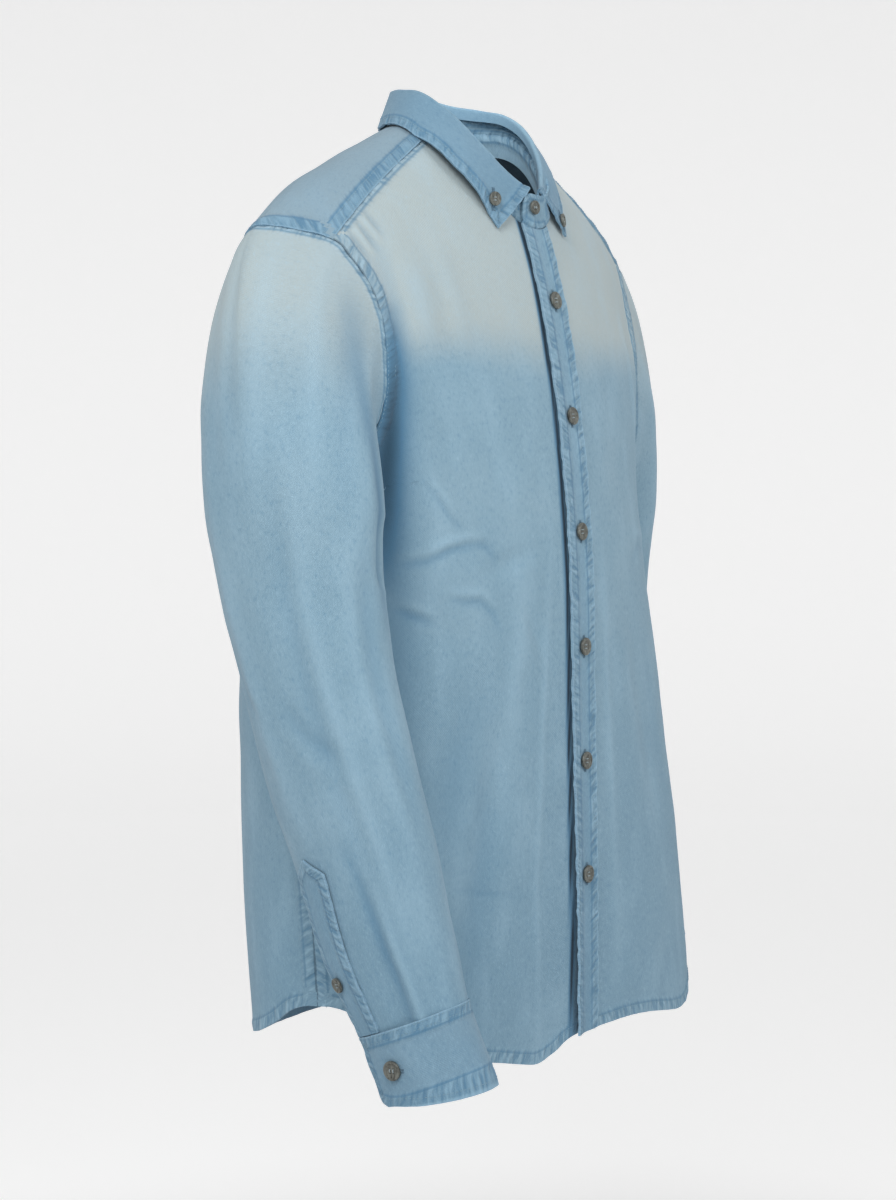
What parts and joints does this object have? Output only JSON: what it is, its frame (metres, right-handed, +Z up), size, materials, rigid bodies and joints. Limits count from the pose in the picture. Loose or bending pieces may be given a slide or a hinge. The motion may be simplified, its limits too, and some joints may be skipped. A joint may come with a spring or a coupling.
{
  "type": "long-sleeved denim shirt",
  "caption": "Long-sleeved button-down shirt of light washed denim, filled out as if worn, hollow, open at neck, hem and cuffs.",
  "frame": {"origin": "inside the neck, in the middle between the shoulder seams, where the shirt is held", "axes": "+Z up to the neck, the front faces -Y, the wearer's left is +X"},
  "size_m": [0.6466, 0.3257, 0.7637],
  "materials": {
    "denim": "light-blue washed denim, matt",
    "denim_faded": "light-blue denim faded towards the shoulders, matt",
    "horn": "satin, horn look"
  },
  "bodies": {
    "root": {"back": "denim", "yoke": "denim", "front_right": "denim_faded", "front_left": "denim_faded", "placket": "denim", "collar_stand": "denim", "collar": "denim", "sleeve_right": "denim_faded", "sleeve_left": "denim_faded", "sleeve_placket_right": "denim", "sleeve_placket_left": "denim", "cuff_right": "denim", "cuff_left": "denim", "button_front_1": "horn", "button_front_2": "horn", "button_front_3": "horn", "button_front_4": "horn", "button_front_5": "horn", "button_front_6": "horn", "button_stand": "horn", "button_collar_left": "horn", "button_collar_right": "horn", "button_sleeve_left": "horn", "button_sleeve_right": "horn", "button_cuff_left": "horn", "button_cuff_right": "horn"}
  },
  "joints": []
}
